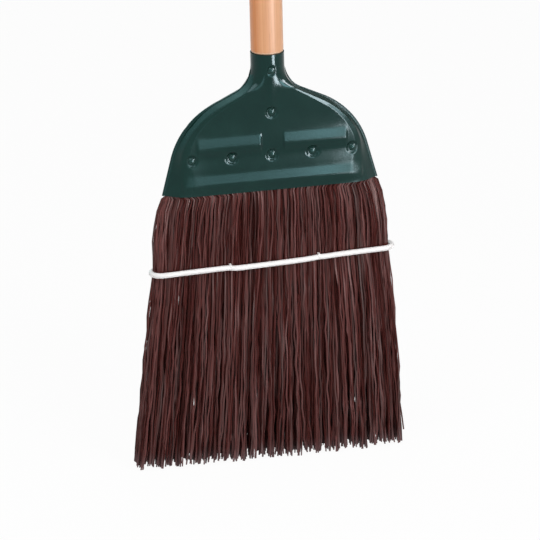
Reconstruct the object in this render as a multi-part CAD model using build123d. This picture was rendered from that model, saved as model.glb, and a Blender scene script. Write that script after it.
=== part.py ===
from build123d import *
import os
from math import acos, asin, copysign, cos, degrees, exp, radians, sin, sqrt, tan

# Upright broom in millimetres. The origin is on the floor under the middle of the fill, +Z runs up the
# handle, and the broad front of the case, with the domed rivet heads, faces -Y.

# Handle
handle_diameter = 28.6
handle_length = 1067.0
handle_insertion = 62.5
handle_dome = 6.0
tongue_ramp = 20.0
tongue_straight = 38.0
tongue_relief = 0.7
socket_clearance = 0.3

# Pressed steel case: heights are measured up from its mouth, leans from the vertical
sheet = 0.8
neck_bore = 28.0
neck_length = 10.0
mouth_width = 194.4
side_lean = 15.0
shoulder_lean = 65.0
shoulder_height = 96.0
shoulder_radius = 71.0
neck_fillet = 26.0
neck_flat = 3.0
neck_blend = 12.0

# Depth of the case and the swells pressed into its broad faces
case_depth = 24.8
mouth_corner = 40.0
shoulder_corner = 10.0
fold_angle = 38.0
fold_full_height = 34.0
roll_rise = 1.5
lower_roll_height = 10.0
upper_roll_height = 41.0
roll_upper_slope = 8.0
roll_lower_slope = 7.0
row_valley = 0.6
valley_spread = 8.0
crest_rise = 1.0
crest_height = 82.0
crest_spread = 13.0
split_dip = 1.4
split_spread = 9.0
crest_half_width = 9.0
crest_flat_share = 0.6
lower_sections = 5
middle_sections = 6
shoulder_sections = 8

# Hemmed side seam
hem_width = 2.0
hem_gap = 0.05
hem_clearance = 0.6
hem_stop = 10.0
seam_lap = 0.4

# Rivets and their dimples
rivet_shank = 4.8
rivet_clearance = 0.1
head_diameter = 6.6
head_rise = 1.6
clinch_rise = 1.1
clinch_bore = 2.4
clinch_depth = 5.0
dimple_diameter = 11.6
dimple_depth = 1.2
seat_margin = 0.5
row_height = 32.0
row_margin = 16.6
row_count = 5
crown_height = 70.5
neck_rivet_drop = 14.0

# Fill: the strands leave fused root blocks in the bays between the row rivets
trim_length = 250.0
strand = 1.9
root_low = 18.0
root_high = 44.0
root_bite = 2.0
root_clearance = 0.3
rivet_room = 0.35
column_pitch = 2.6
full_rows = 7
side_room = 4.0
mouth_tuck = 3.2
mouth_clearance = 1.0
flare_drop = 17.0
flare_reach = 8.0
flare_tuck = 1.9
waist_reach = 10.9
waist_half_depth = 5.9
tip_reach = 29.2
tip_half_depth = 15.0
tip_end_share = 0.35
row_spacing = 1.95
stagger_reach = 0.7
stagger_step = 0.382
sway = 0.25
tip_sway = 0.6
tip_ragged = 8.0

# Binding wire round the waist of the fill, and the two ties that draw it in
waist_drop = 67.5
wire_diameter = 4.8
wire_clearance = 0.3
tie_wire = 1.2
tie_offset = 40.0
tie_clearance = 0.15
tie_lane_margin = 0.7
tie_lane_reach = 14.0

# How far a cutting solid runs past what it cuts
cut_overrun = 1.0

# Pull of a curve's handles that makes a quarter of it round, and the step that ends a search along it
round_pull = 4 / 3 * (sqrt(2) - 1)
depth_search_step = 1e-6

neck_radius = neck_bore / 2 + sheet


def bell(height, centre, spread):
    return exp(-(((height - centre) / spread) ** 2))


def ease(value, start, stop):
    share = min(max((value - start) / (stop - start), 0.0), 1.0)
    return share * share * (3 - 2 * share)


def scatter(column, row, salt):
    """A steady value between -1 and 1 for one strand."""
    wave = sin(column * 12.9898 + row * 78.233 + salt * 37.719) * 43758.5453
    return 2 * (wave - wave // 1) - 1


# Outline of the case: a leaning side, a round shoulder, a sloping top and a fillet up to the neck.
# An inset moves the outline inwards, square to itself, and the neck has its own radius.


def outline_corners(inset, neck):
    lean = tan(radians(side_lean))
    slope = tan(radians(shoulder_lean))
    foot = mouth_width / 2 - inset / cos(radians(side_lean))
    crest = shoulder_height - inset / sin(radians(shoulder_lean)) + (neck_radius - neck) / slope
    corner_height = (neck + crest * slope - foot) / (slope - lean)
    return foot, foot - corner_height * lean, corner_height, crest


def half_width(height, inset, neck):
    lean = radians(side_lean)
    slope = radians(shoulder_lean)
    foot, _, corner_height, crest = outline_corners(inset, neck)
    shoulder = shoulder_radius - inset
    fillet = neck_fillet + inset
    arc_low = corner_height - shoulder * tan((slope - lean) / 2) * cos(lean)
    arc_high = corner_height + shoulder * tan((slope - lean) / 2) * cos(slope)
    fillet_low = crest - fillet * tan(slope / 2) * cos(slope)
    fillet_high = crest + fillet * tan(slope / 2)
    if height < arc_low:
        return foot - height * tan(lean)
    if height < arc_high:
        centre = foot - arc_low * tan(lean) - shoulder * cos(lean)
        rise = height - arc_low + shoulder * sin(lean)
        return centre + sqrt(shoulder**2 - rise**2)
    if height < fillet_low:
        return neck + (crest - height) * tan(slope)
    if height < fillet_high:
        return neck + fillet - sqrt(fillet**2 - (fillet_high - height) ** 2)
    return neck


def inner_half_width(height):
    return half_width(height, hem_width + sheet, neck_radius - sheet)


# Heights and places that follow from the sizes above
neck_start = outline_corners(0, neck_radius)[3] + neck_fillet * tan(radians(shoulder_lean) / 2)
case_height = neck_start + neck_length
neck_rivet_height = case_height - neck_rivet_drop
hem_top = shoulder_height - hem_stop
mouth_z = trim_length
rim_z = mouth_z + case_height
waist_z = mouth_z - waist_drop
shank_hole = rivet_shank / 2 + rivet_clearance
row_pitch = 2 * (half_width(row_height, 0, neck_radius) - row_margin) / (row_count - 1)
row_places = [row_pitch * (place - (row_count - 1) / 2) for place in range(row_count)]
outer_root_half_width = inner_half_width(root_low) - side_room
outer_root_taper = inner_half_width(root_low) - inner_half_width(root_high)
flare_half_width = inner_half_width(0) + flare_reach
mouth_half_width = inner_half_width(0) - mouth_tuck
waist_half_width = inner_half_width(0) + waist_reach
tip_half_width = inner_half_width(0) + tip_reach
flare_half_depth = case_depth / 2 - flare_tuck
waist_wire_y = waist_half_depth + strand / 2 + wire_clearance + wire_diameter / 2
waist_wire_x = waist_half_width + strand / 2 + wire_clearance + wire_diameter / 2


def side_path(inset, neck):
    foot, corner, corner_height, crest = outline_corners(inset, neck)
    points = [(foot, 0), (corner, corner_height), (neck, crest), (neck, case_height)]
    return FilletPolyline(*points, radius=[shoulder_radius - inset, neck_fillet + inset])


# Depth of the case: a soft roll above the mouth, a valley along the rivet row and a roll above it


def roll(height, crest):
    """Swell of one roll, with a longer slope above its crest than below it."""
    return roll_rise * bell(height, crest, roll_upper_slope if height > crest else roll_lower_slope)


def half_depth(height):
    panel = case_depth / 2 + roll(height, lower_roll_height) + roll(height, upper_roll_height)
    panel -= row_valley * bell(height, row_height, valley_spread)
    share = ease(height, crest_height, neck_start)
    return panel + (neck_radius - panel) * share


def centre_swell(height):
    """Height of the ridge below the neck, or of the dip that splits the upper roll."""
    return crest_rise * bell(height, crest_height, crest_spread) - split_dip * bell(
        height, upper_roll_height, split_spread
    )


def corner_width(height, half):
    corner = mouth_corner + (shoulder_corner - mouth_corner) * ease(height, 0, fold_full_height)
    return corner + (half - neck_flat - corner) * ease(height, crown_height, neck_start)


def side_points(height, half, depth):
    """Handles of the curve from the seam to the broad face: a shallow fold at the mouth, square above."""
    corner = corner_width(height, half)
    fold = fold_angle + (90 - fold_angle) * ease(height, 0, fold_full_height)
    leaving = (half - round_pull * depth / tan(radians(fold)), -round_pull * depth)
    arriving = (half - corner + round_pull * corner, -depth)
    return [(half, 0), leaving, arriving, (half - corner, -depth)]


def curve_place(points, share):
    """Point at a share of a curve with four handles."""
    weights = [(1 - share) ** 3, 3 * share * (1 - share) ** 2, 3 * share**2 * (1 - share), share**3]
    return [sum(weight * point[axis] for weight, point in zip(weights, points)) for axis in range(2)]


def inner_depth(across, height):
    """Half depth inside the case at a distance from its centre line."""
    depth = half_depth(height) - sheet
    points = side_points(height, inner_half_width(height), depth)
    if across <= points[-1][0]:
        return depth
    if across >= points[0][0]:
        return 0.0
    low, high = 0.0, 1.0
    while high - low > depth_search_step:
        middle = (low + high) / 2
        beyond = curve_place(points, middle)[0] > across
        low, high = (middle, high) if beyond else (low, middle)
    return -curve_place(points, low)[1]


def bow(across, depth, start, size):
    """Part of an ellipse as one curve, by its start angle and its size in degrees."""
    first = radians(start)
    last = radians(start + size)
    pull = 4 / 3 * tan((last - first) / 4)
    ends = [(across * cos(turn), depth * sin(turn)) for turn in (first, last)]
    pulls = [(-pull * across * sin(turn), pull * depth * cos(turn)) for turn in (first, last)]
    leaving = (ends[0][0] + pulls[0][0], ends[0][1] + pulls[0][1])
    arriving = (ends[1][0] - pulls[1][0], ends[1][1] - pulls[1][1])
    return Bezier(ends[0], leaving, arriving, ends[1])


def front_of_panel(flat, depth, swell):
    """Broad face between the two rounded sides, raised or dipped along its middle."""
    near = min(crest_half_width, flat * crest_flat_share)
    middle_share = 20 / 64
    peak = depth + swell / middle_share
    half = [(near, -depth), (near / 2, -depth)]
    left = [(-across, y) for across, y in half]
    return Bezier((-flat, -depth), *left, (0, -peak), *reversed(half), (flat, -depth))


def section(height, wall):
    """Closed outline of the case at one height, its walls moved in by wall."""
    half = half_width(height, hem_width + wall, neck_radius - wall)
    depth = half_depth(height) - wall
    if height > neck_start - neck_blend:
        turn = degrees(acos(neck_flat / half))
        left = bow(half, depth, 180, turn)
        front = bow(half, depth, 180 + turn, 180 - 2 * turn)
        right = bow(half, depth, 360 - turn, turn)
    else:
        side = side_points(height, half, depth)
        left = Bezier(*[(-across, y) for across, y in side])
        front = front_of_panel(side[-1][0], depth, centre_swell(height))
        right = Bezier(*reversed(side))
    edges = [left, front, right]
    rear = [mirror(edge, about=Plane.XZ) for edge in reversed(edges)]
    loop = Wire([edge.edge() for edge in edges + rear])
    return Pos(0, 0, mouth_z + height) * loop


def spaced(start, stop, steps):
    """Evenly spaced values after start, up to stop."""
    return [start + (stop - start) * step / steps for step in range(1, steps + 1)]


section_heights = [0.0]
section_heights += spaced(0.0, row_height, lower_sections)
section_heights += spaced(row_height, crown_height, middle_sections)
section_heights += spaced(crown_height, neck_start, shoulder_sections)


def case_block(wall, overrun):
    """The case filled in, down from the neck rim, with its walls moved in by wall."""
    heights = [-overrun] + section_heights[1:] if overrun else section_heights
    body = Solid.make_loft([section(height, wall) for height in heights])
    rim = case_height + overrun
    return body + Solid.make_loft([section(neck_start, wall), section(rim, wall)], ruled=True)


def facing_front(solid, across, height):
    """Turns a solid of revolution so that its axis points out of the front of the case."""
    return Pos(across, 0, mouth_z + height) * Rot(90, 0, 0) * solid


def panel_depth(across, height):
    """Half depth of the case on its centre line, or well beside the ridge there."""
    return half_depth(height) + (centre_swell(height) if abs(across) < crest_half_width else 0.0)


rivet_spots = [(across, row_height) for across in row_places] + [(0.0, crown_height)]


def dimple(depth):
    """Dished seat of one rivet, sheet metal thick, with its rim level with the panel."""
    seat = head_diameter / 2 + seat_margin
    rim = dimple_diameter / 2
    top = depth - sheet / 4
    low = depth - dimple_depth
    points = [(shank_hole, low), (seat, low), (rim, top), (rim, depth - sheet)]
    points += [(seat, low - sheet), (shank_hole, low - sheet)]
    profile = make_face(Polyline(*points, close=True))
    return revolve(Plane.XZ * profile, Axis.Z)


def half_case():
    """Front half of the case without its seam flange."""
    hollow = case_block(0.0, 0.0) - case_block(sheet, cut_overrun)
    half = split(hollow, Plane.XZ, Keep.TOP)
    for across, height in rivet_spots:
        depth = panel_depth(across, height)
        punch = Pos(0, 0, depth) * Cylinder(dimple_diameter / 2 - seam_lap, case_depth)
        half = half - facing_front(punch, across, height)
        half = half + facing_front(dimple(depth), across, height)
    drill = Pos(0, 0, neck_radius) * Cylinder(shank_hole, neck_bore)
    return half - facing_front(drill, 0, neck_rivet_height)


def seam_strip(outer, inner, low, high, top):
    """Both sides' strip along the outline, from one inset to another, between two depths."""
    outside = side_path(outer, neck_radius - seam_lap / 4)
    inside = side_path(inner, neck_radius - seam_lap)
    ends = [Line(outside @ 0, inside @ 0), Line(outside @ 1, inside @ 1)]
    strip = make_face([*outside.edges(), *inside.edges(), *ends])
    trim = Pos(0, top / 2) * Rectangle(2 * mouth_width, top)
    flat = Plane.XZ.offset(-high) * (strip & trim)
    right = Pos(0, 0, mouth_z) * extrude(flat, amount=high - low)
    return right + mirror(right, about=Plane.YZ)


def case_front(half):
    flange = seam_strip(0, hem_width + seam_lap, -sheet, 0, case_height)
    lip = seam_strip(0, sheet, -sheet, 2 * sheet + hem_gap, hem_top)
    turned_in = seam_strip(0, hem_width - hem_clearance, sheet + hem_gap, 2 * sheet + hem_gap, hem_top)
    return half + flange + lip + turned_in


def case_rear(half):
    flange = seam_strip(sheet + hem_gap, hem_width + seam_lap, 0, sheet, case_height)
    return mirror(half, about=Plane.XZ) + flange


def dome_arc(radius, base, rise):
    """Edge of a ball's cap, from its rim to its top on the axis."""
    ball = (radius**2 + rise**2) / (2 * rise)
    half_turn = asin(radius / ball) / 2
    middle = (ball * sin(half_turn), base + rise - ball + ball * cos(half_turn))
    return ThreePointArc((radius, base), middle, (0, base + rise))


def rivet(seat):
    """Domed head in front, shank, and a rolled hollow end behind, on the Z axis."""
    head = head_diameter / 2
    shank = rivet_shank / 2
    bore = clinch_bore / 2
    dome = dome_arc(head, seat, head_rise)
    roll = ThreePointArc((head, -seat), ((bore + head) / 2, -seat - clinch_rise), (bore, -seat))
    body = Polyline((head, seat), (shank, seat), (shank, -seat), (head, -seat))
    blind = clinch_depth - seat
    inside = Polyline((bore, -seat), (bore, blind), (0, blind), (0, seat + head_rise))
    profile = make_face([*dome.edges(), *body.edges(), *roll.edges(), *inside.edges()])
    return revolve(Plane.XZ * profile, Axis.Z)


def panel_rivet(across, height):
    return facing_front(rivet(panel_depth(across, height) - dimple_depth), across, height)


def neck_rivet():
    """Domed at both ends, with its heads saddled to the round neck."""
    head = head_diameter / 2
    saddle = neck_radius + rivet_clearance
    seat = saddle + rivet_clearance
    front = dome_arc(head, seat, head_rise)
    rear = mirror(front, about=Plane.XZ)
    side = Line((head, seat), (head, -seat))
    axis = Line((0, seat + head_rise), (0, -seat - head_rise))
    profile = make_face([front.edge(), rear.edge(), side.edge(), axis.edge()])
    blank = facing_front(revolve(Plane.XZ * profile, Axis.Z), 0, neck_rivet_height)
    core = Pos(0, 0, mouth_z + neck_rivet_height) * Cylinder(saddle, 2 * head_diameter)
    return blank - (core - facing_front(Cylinder(rivet_shank / 2, 2 * seat), 0, neck_rivet_height))


def handle():
    """Round stick with a domed top, a tenon in the neck and a tongue flattened between the walls."""
    radius = handle_diameter / 2
    tenon = neck_bore / 2 - socket_clearance
    tongue = tenon - tongue_relief
    neck_z = mouth_z + neck_start
    low = rim_z - handle_insertion
    top = low + handle_length
    sides = Polyline(
        (0, low),
        (tongue, low),
        (tongue, neck_z),
        (tenon, neck_z + tongue_relief),
        (tenon, rim_z),
        (radius, rim_z),
        (radius, top - handle_dome),
    )
    dome = dome_arc(radius, top - handle_dome, handle_dome)
    profile = make_face([*sides.edges(), *dome.edges(), Line((0, top), (0, low))])
    stick = revolve(Plane.XZ * profile, Axis.Z)
    flat = panel_depth(0, crown_height) - dimple_depth - sheet - root_clearance
    ramp_low = low + tongue_straight
    wedge = Polyline(
        (flat, low - cut_overrun),
        (flat, ramp_low),
        (tenon + cut_overrun, ramp_low + tongue_ramp),
        (2 * tenon, ramp_low + tongue_ramp),
        (2 * tenon, low - cut_overrun),
        close=True,
    )
    shaving = extrude(Plane.YZ * make_face(wedge), amount=2 * radius, both=True)
    stick = stick - shaving - mirror(shaving, about=Plane.XZ)
    for height in (neck_rivet_height, crown_height):
        stick = stick - facing_front(Cylinder(shank_hole, 4 * radius), 0, height)
    return stick


# Fill. Every strand is a four-sided prism that runs through the root, the flare, the waist and its tip.


def bay_limits():
    """Left and right side of each root block at its low edge."""
    room = rivet_shank / 2 + rivet_room
    lefts = [-outer_root_half_width] + [place + room for place in row_places]
    rights = [place - room for place in row_places] + [outer_root_half_width]
    return list(zip(lefts, rights))


def clear_of_ties(across):
    """Opens a lane for each tie between the strands at the waist."""
    lane = strand / 2 + tie_wire / 2 + tie_lane_margin
    offset = abs(across) - tie_offset
    if abs(offset) < tie_lane_reach:
        offset = copysign(lane + abs(offset) * (1 - lane / tie_lane_reach), offset)
    return copysign(tie_offset + offset, across)


def waist_room(across):
    """Half depth free for strand centres inside the bend of the binding wire."""
    bend = waist_wire_y - wire_diameter / 2 - wire_clearance
    past = abs(across) + strand / 2 - (waist_wire_x - waist_wire_y)
    if past <= 0:
        return waist_half_depth
    return sqrt(max(bend**2 - past**2, strand**2)) - strand / 2


def mouth_room(across):
    """Half depth free for strand centres in the mouth of the case."""
    return max(inner_depth(abs(across) + strand / 2, 0) - mouth_clearance - strand / 2, 0.0)


def prism(places):
    """Four-sided strand through its places, with level squares and flat faces."""
    half = strand / 2
    corners = [(-half, -half), (half, -half), (half, half), (-half, half)]
    rings = [[(x + dx, y + dy, z) for dx, dy in corners] for x, y, z in places]
    quads = [rings[0], rings[-1]]
    for low, high in zip(rings, rings[1:]):
        quads += [[low[k], low[k - 1], high[k - 1], high[k]] for k in range(len(corners))]
    return Solid(Shell([Face(Wire.make_polygon(quad)) for quad in quads]))


def stagger(row):
    """Sideways shift of a row, in column pitches, so that no two rows beside each other line up."""
    return stagger_reach * (stagger_step * row % 1.0 - 0.5)


def strand_solid(column, columns, row, rows, root_x, side):
    across = (2 * column - columns + 1) / (columns - 1)
    shifted = across + side * 2 / (columns - 1)
    filled = (2 * row - rows + 1) / max(rows - 1, 1)
    mouth_y = mouth_room(mouth_half_width * across)
    flare_y = flare_half_depth * mouth_y / mouth_room(0)
    waist_y = waist_room(waist_half_width * across)
    narrow = waist_y / waist_half_depth
    tip_narrow = tip_end_share + (1 - tip_end_share) * narrow
    loose_x = 0.0 if column in (0, columns - 1) else 1.0
    loose_y = 0.0 if row in (0, rows - 1) else 1.0
    flare_x = flare_half_width * shifted + loose_x * sway * scatter(column, row, 1)
    waist_x = waist_half_width * shifted + loose_x * sway * scatter(column, row, 2)
    tip_x = tip_half_width * shifted + loose_x * tip_sway * scatter(column, row, 3)
    tip_y = tip_half_depth * tip_narrow * filled + loose_y * sway * scatter(column, row, 4)
    tip_z = max(0.0, tip_ragged * scatter(column, row, 5))
    return prism(
        [
            (root_x, (root_depth(root_x) - strand / 2) * filled, mouth_z + root_low + root_bite),
            (mouth_half_width * shifted, mouth_y * filled, mouth_z),
            (flare_x, flare_y * filled, mouth_z - flare_drop),
            (clear_of_ties(waist_x), waist_y * filled, waist_z),
            (tip_x, tip_y, tip_z),
        ]
    )


def root_depth(across):
    """Half depth of the root blocks: inside the deepest dimples, and less along the case's sides."""
    full = panel_depth(0, row_height) - dimple_depth - sheet - root_clearance
    start = row_places[-1]
    thin = inner_depth(outer_root_half_width, root_low) - root_clearance
    share = max((abs(across) - start) / (outer_root_half_width - start), 0.0)
    return full + (thin - full) * share


def root_block(left, right):
    """Fused strand ends between two rivets, narrower at the top where they lie along the case's side."""
    taper_left = outer_root_taper if left <= -outer_root_half_width else 0.0
    taper_right = outer_root_taper if right >= outer_root_half_width else 0.0
    corners = [(left, root_low), (right, root_low)]
    corners += [(right - taper_right, root_high), (left + taper_left, root_high)]
    broad = extrude(Plane.XZ * make_face(Polyline(*corners, close=True)), amount=case_depth, both=True)
    thick = [(left, -root_depth(left)), (right, -root_depth(right))]
    thick += [(across, -y) for across, y in reversed(thick)]
    level = extrude(make_face(Polyline(*thick, close=True)), amount=root_high + cut_overrun)
    return Pos(0, 0, mouth_z) * (broad & level)


def fill_bays():
    limits = bay_limits()
    margin = strand / 2 + root_clearance
    counts = [max(1, round((right - left - 2 * margin) / column_pitch)) for left, right in limits]
    columns = sum(counts)
    column = 0
    for (left, right), count in zip(limits, counts):
        pitch = (right - left - 2 * margin) / count
        strands = []
        for place in range(count):
            across = (2 * column - columns + 1) / (columns - 1)
            mouth_y = mouth_room(mouth_half_width * across)
            room = min(waist_room(waist_half_width * across), mouth_y)
            rows = min(full_rows, 1 + int(2 * room / row_spacing))
            fullness = mouth_y / mouth_room(0) if rows == full_rows else 0.0
            for row in range(rows):
                side = fullness * stagger(row)
                root_x = left + margin + (place + 0.5 + side) * pitch
                strands.append(strand_solid(column, columns, row, rows, root_x, side))
            column += 1
        yield root_block(left, right).fuse(*strands), len(strands)


def half_loop(straight, radius, thickness):
    """Half of a flat closed wire loop in the XY plane, from its front middle round to its rear middle."""
    path = Wire(
        [
            Line((0, -radius), (straight, -radius)).edge(),
            CenterArc((straight, 0), radius, -90, 180).edge(),
            Line((straight, radius), (0, radius)).edge(),
        ]
    )
    return sweep(Plane((0, -radius, 0), z_dir=(1, 0, 0)) * Circle(thickness / 2), path=path)


def closed_loop(straight, radius, thickness):
    half = half_loop(straight, radius, thickness)
    return half + mirror(half, about=Plane.YZ)


def binding_wire():
    return Pos(0, 0, waist_z) * closed_loop(waist_wire_x - waist_wire_y, waist_wire_y, wire_diameter)


def cross_tie(across):
    """Upright loop through the fill that holds the front and rear runs of the binding wire together."""
    radius = (wire_diameter + tie_wire) / 2 + tie_clearance
    loop = closed_loop(waist_wire_y, radius, tie_wire)
    upright = Plane((across, 0, waist_z), x_dir=(0, 1, 0), z_dir=(1, 0, 0))
    return upright * loop


def main():
    half = half_case()
    nodes = {
        "handle": handle(),
        "case_front": case_front(half),
        "case_rear": case_rear(half),
        "neck_rivet": neck_rivet(),
        "crown_rivet": panel_rivet(0, crown_height),
        "row_rivets": Compound([panel_rivet(across, row_height).solid() for across in row_places]),
        "binding_wire": binding_wire(),
        "cross_tie_left": cross_tie(-tie_offset),
        "cross_tie_right": cross_tie(tie_offset),
    }
    strands = 0
    for number, (bay, count) in enumerate(fill_bays(), start=1):
        nodes[f"fill_bay_{number}"] = bay
        strands += count
    os.makedirs("parts", exist_ok=True)
    for name, solid in nodes.items():
        export_step(solid, f"parts/{name}.step")
    print(f"{len(nodes)} nodes, {strands} strands")


main()
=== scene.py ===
import math
import random

import bmesh
import bpy
import numpy as np
from mathutils import Matrix, Vector


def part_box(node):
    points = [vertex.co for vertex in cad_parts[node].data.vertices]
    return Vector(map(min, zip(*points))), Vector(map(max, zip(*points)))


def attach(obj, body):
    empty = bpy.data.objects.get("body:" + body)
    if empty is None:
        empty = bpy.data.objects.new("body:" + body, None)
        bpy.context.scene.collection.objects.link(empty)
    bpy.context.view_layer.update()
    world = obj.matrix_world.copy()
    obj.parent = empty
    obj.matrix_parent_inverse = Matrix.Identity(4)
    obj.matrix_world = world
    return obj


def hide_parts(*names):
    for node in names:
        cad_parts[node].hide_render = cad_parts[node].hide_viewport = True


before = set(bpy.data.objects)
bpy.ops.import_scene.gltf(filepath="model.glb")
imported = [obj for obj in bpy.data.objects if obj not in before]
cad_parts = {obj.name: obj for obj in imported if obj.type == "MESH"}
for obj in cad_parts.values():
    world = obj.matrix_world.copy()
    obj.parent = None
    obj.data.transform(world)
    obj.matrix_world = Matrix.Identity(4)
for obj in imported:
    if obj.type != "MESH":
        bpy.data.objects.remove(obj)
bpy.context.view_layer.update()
print("frame loaded with", len(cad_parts), "nodes")


def middle(node, axis):
    low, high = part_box(node)
    return (low[axis] + high[axis]) / 2


caseLow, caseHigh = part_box("case_front")
mouthZ = caseLow.z
rimZ = caseHigh.z
caseHeight = rimZ - mouthZ
waistZ = middle("binding_wire", 2)


def rgb(*parts):
    return (*parts, 1.0)


# Shader maths: a socket that takes part in Python expressions
class Val:
    def __init__(self, nodes, socket):
        self.nodes = nodes
        self.socket = socket

    def join(self, operation, *values):
        return self.nodes.add("ShaderNodeMath", {"operation": operation}, dict(enumerate(values)))

    def __add__(self, other):
        return self.join("ADD", self, other)

    def __radd__(self, other):
        return self.join("ADD", other, self)

    def __sub__(self, other):
        return self.join("SUBTRACT", self, other)

    def __rsub__(self, other):
        return self.join("SUBTRACT", other, self)

    def __mul__(self, other):
        return self.join("MULTIPLY", self, other)

    def __rmul__(self, other):
        return self.join("MULTIPLY", other, self)

    def __abs__(self):
        return self.join("ABSOLUTE", self)


# One node tree, with a method that adds any other node
class NodeTree:
    def __init__(self, tree):
        self.tree = tree

    def feed(self, socket, value):
        if isinstance(value, Val):
            self.tree.links.new(value.socket, socket)
        else:
            socket.default_value = value

    def add(self, kind, settings, sockets, out=0):
        node = self.tree.nodes.new(kind)
        for name, value in settings.items():
            if name == "stops":
                self.setStops(node.color_ramp, value)
            else:
                setattr(node, name, value)
        for key, value in sockets.items():
            self.feed(node.inputs[key], value)
        return Val(self, node.outputs[out])

    def setStops(self, ramp, stops):
        while len(ramp.elements) < len(stops):
            ramp.elements.new(0.5)
        for element, (place, colour) in zip(ramp.elements, stops):
            element.position = place
            element.color = rgb(*colour)

    def backdropRays(self):
        # 1 for the rays that show the backdrop, also by way of metal or glass
        kinds = ("Is Camera Ray", "Is Glossy Ray", "Is Transmission Ray")
        camera, glossy, through = [self.add("ShaderNodeLightPath", {}, {}, kind) for kind in kinds]
        return camera + glossy + through


# One material: its Principled shader and the patterns that feed it
class Finish(NodeTree):
    def __init__(self, name):
        self.material = bpy.data.materials.new(name)
        self.material.use_nodes = True
        super().__init__(self.material.node_tree)
        self.shader = self.tree.nodes["Principled BSDF"]

    def set(self, **values):
        for name, value in values.items():
            self.feed(self.shader.inputs[name.replace("_", " ")], value)

    def objectPlace(self):
        return self.add("ShaderNodeTexCoord", {}, {}, "Object")

    def along(self, place, axis):
        return self.add("ShaderNodeSeparateXYZ", {}, {"Vector": place}, axis)

    def attribute(self, name):
        return self.add("ShaderNodeAttribute", {"attribute_name": name}, {}, "Fac")

    def noise(self, place, scale, detail, roughness):
        if isinstance(scale, tuple):  # drawn out along the piece
            place = self.add("ShaderNodeMapping", {}, {"Vector": place, "Scale": scale})
            scale = 1.0
        sockets = {"Vector": place, "Scale": scale, "Detail": detail, "Roughness": roughness}
        return self.add("ShaderNodeTexNoise", {}, sockets)

    def ramp(self, value, stops):
        return self.add("ShaderNodeValToRGB", {"stops": stops}, {"Fac": value})

    def smooth(self, value, low, high):
        sockets = {"Value": value, "From Min": low, "From Max": high}
        return self.add("ShaderNodeMapRange", {"interpolation_type": "SMOOTHSTEP"}, sockets)

    def layer(self, base, mask, share, colour):
        # a colour laid over the base where the mask is 1, as thick as its share
        sockets = {0: mask * share, 6: base, 7: rgb(*colour)}
        return self.add("ShaderNodeMix", {"data_type": "RGBA"}, sockets, 2)

    def bump(self, height, strength, distance):
        sockets = {"Height": height, "Strength": strength, "Distance": distance}
        self.set(Normal=self.add("ShaderNodeBump", {}, sockets))


# Small helpers for modelling by operator
def startFresh():
    if bpy.context.object and bpy.context.object.mode != "OBJECT":
        bpy.ops.object.mode_set(mode="OBJECT")
    bpy.ops.object.select_all(action="DESELECT")


def activate(*pieces):
    startFresh()
    for piece in pieces:
        piece.select_set(True)
    bpy.context.view_layer.objects.active = pieces[0]


def settle(name):
    piece = bpy.context.object
    piece.name = name
    piece.data.name = name
    bpy.ops.object.transform_apply(location=True, rotation=True, scale=True)
    return piece


def pickFaces(piece, wanted):
    mesh = bmesh.from_edit_mesh(piece.data)
    for face in mesh.faces:
        face.select_set(wanted(face))
    bmesh.update_edit_mesh(piece.data)


def pickEdges(piece, wanted):
    mesh = bmesh.from_edit_mesh(piece.data)
    for face in mesh.faces:
        face.select_set(False)
    for edge in mesh.edges:
        edge.select_set(wanted(edge))
    bmesh.update_edit_mesh(piece.data)


def extrudeBy(rise):
    bpy.ops.mesh.extrude_region_move(TRANSFORM_OT_translate={"value": (0, 0, rise)})


def widenBy(x, y):
    bpy.ops.transform.resize(value=(x, y, 1), center_override=(0, 0, 0))


def faceOutwards():
    bpy.ops.object.mode_set(mode="EDIT")
    bpy.ops.mesh.select_all(action="SELECT")
    bpy.ops.mesh.normals_make_consistent(inside=False)
    bpy.ops.object.mode_set(mode="OBJECT")


def dress(piece, finish, node):
    piece.data.materials.clear()
    piece.data.materials.append(finish.material)
    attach(piece, "root")
    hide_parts(node)


def readPoints(mesh):
    flat = np.zeros(len(mesh.vertices) * 3)
    mesh.vertices.foreach_get("co", flat)
    return flat.reshape(-1, 3)


def writePoints(mesh, points):
    mesh.vertices.foreach_set("co", points.ravel())
    mesh.update()


def bell(value, centre, spread):
    return np.exp(-(((value - centre) / spread) ** 2))


def ease(value, start, stop):
    share = np.clip((value - start) / (stop - start), 0.0, 1.0)
    return share * share * (3 - 2 * share)


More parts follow.
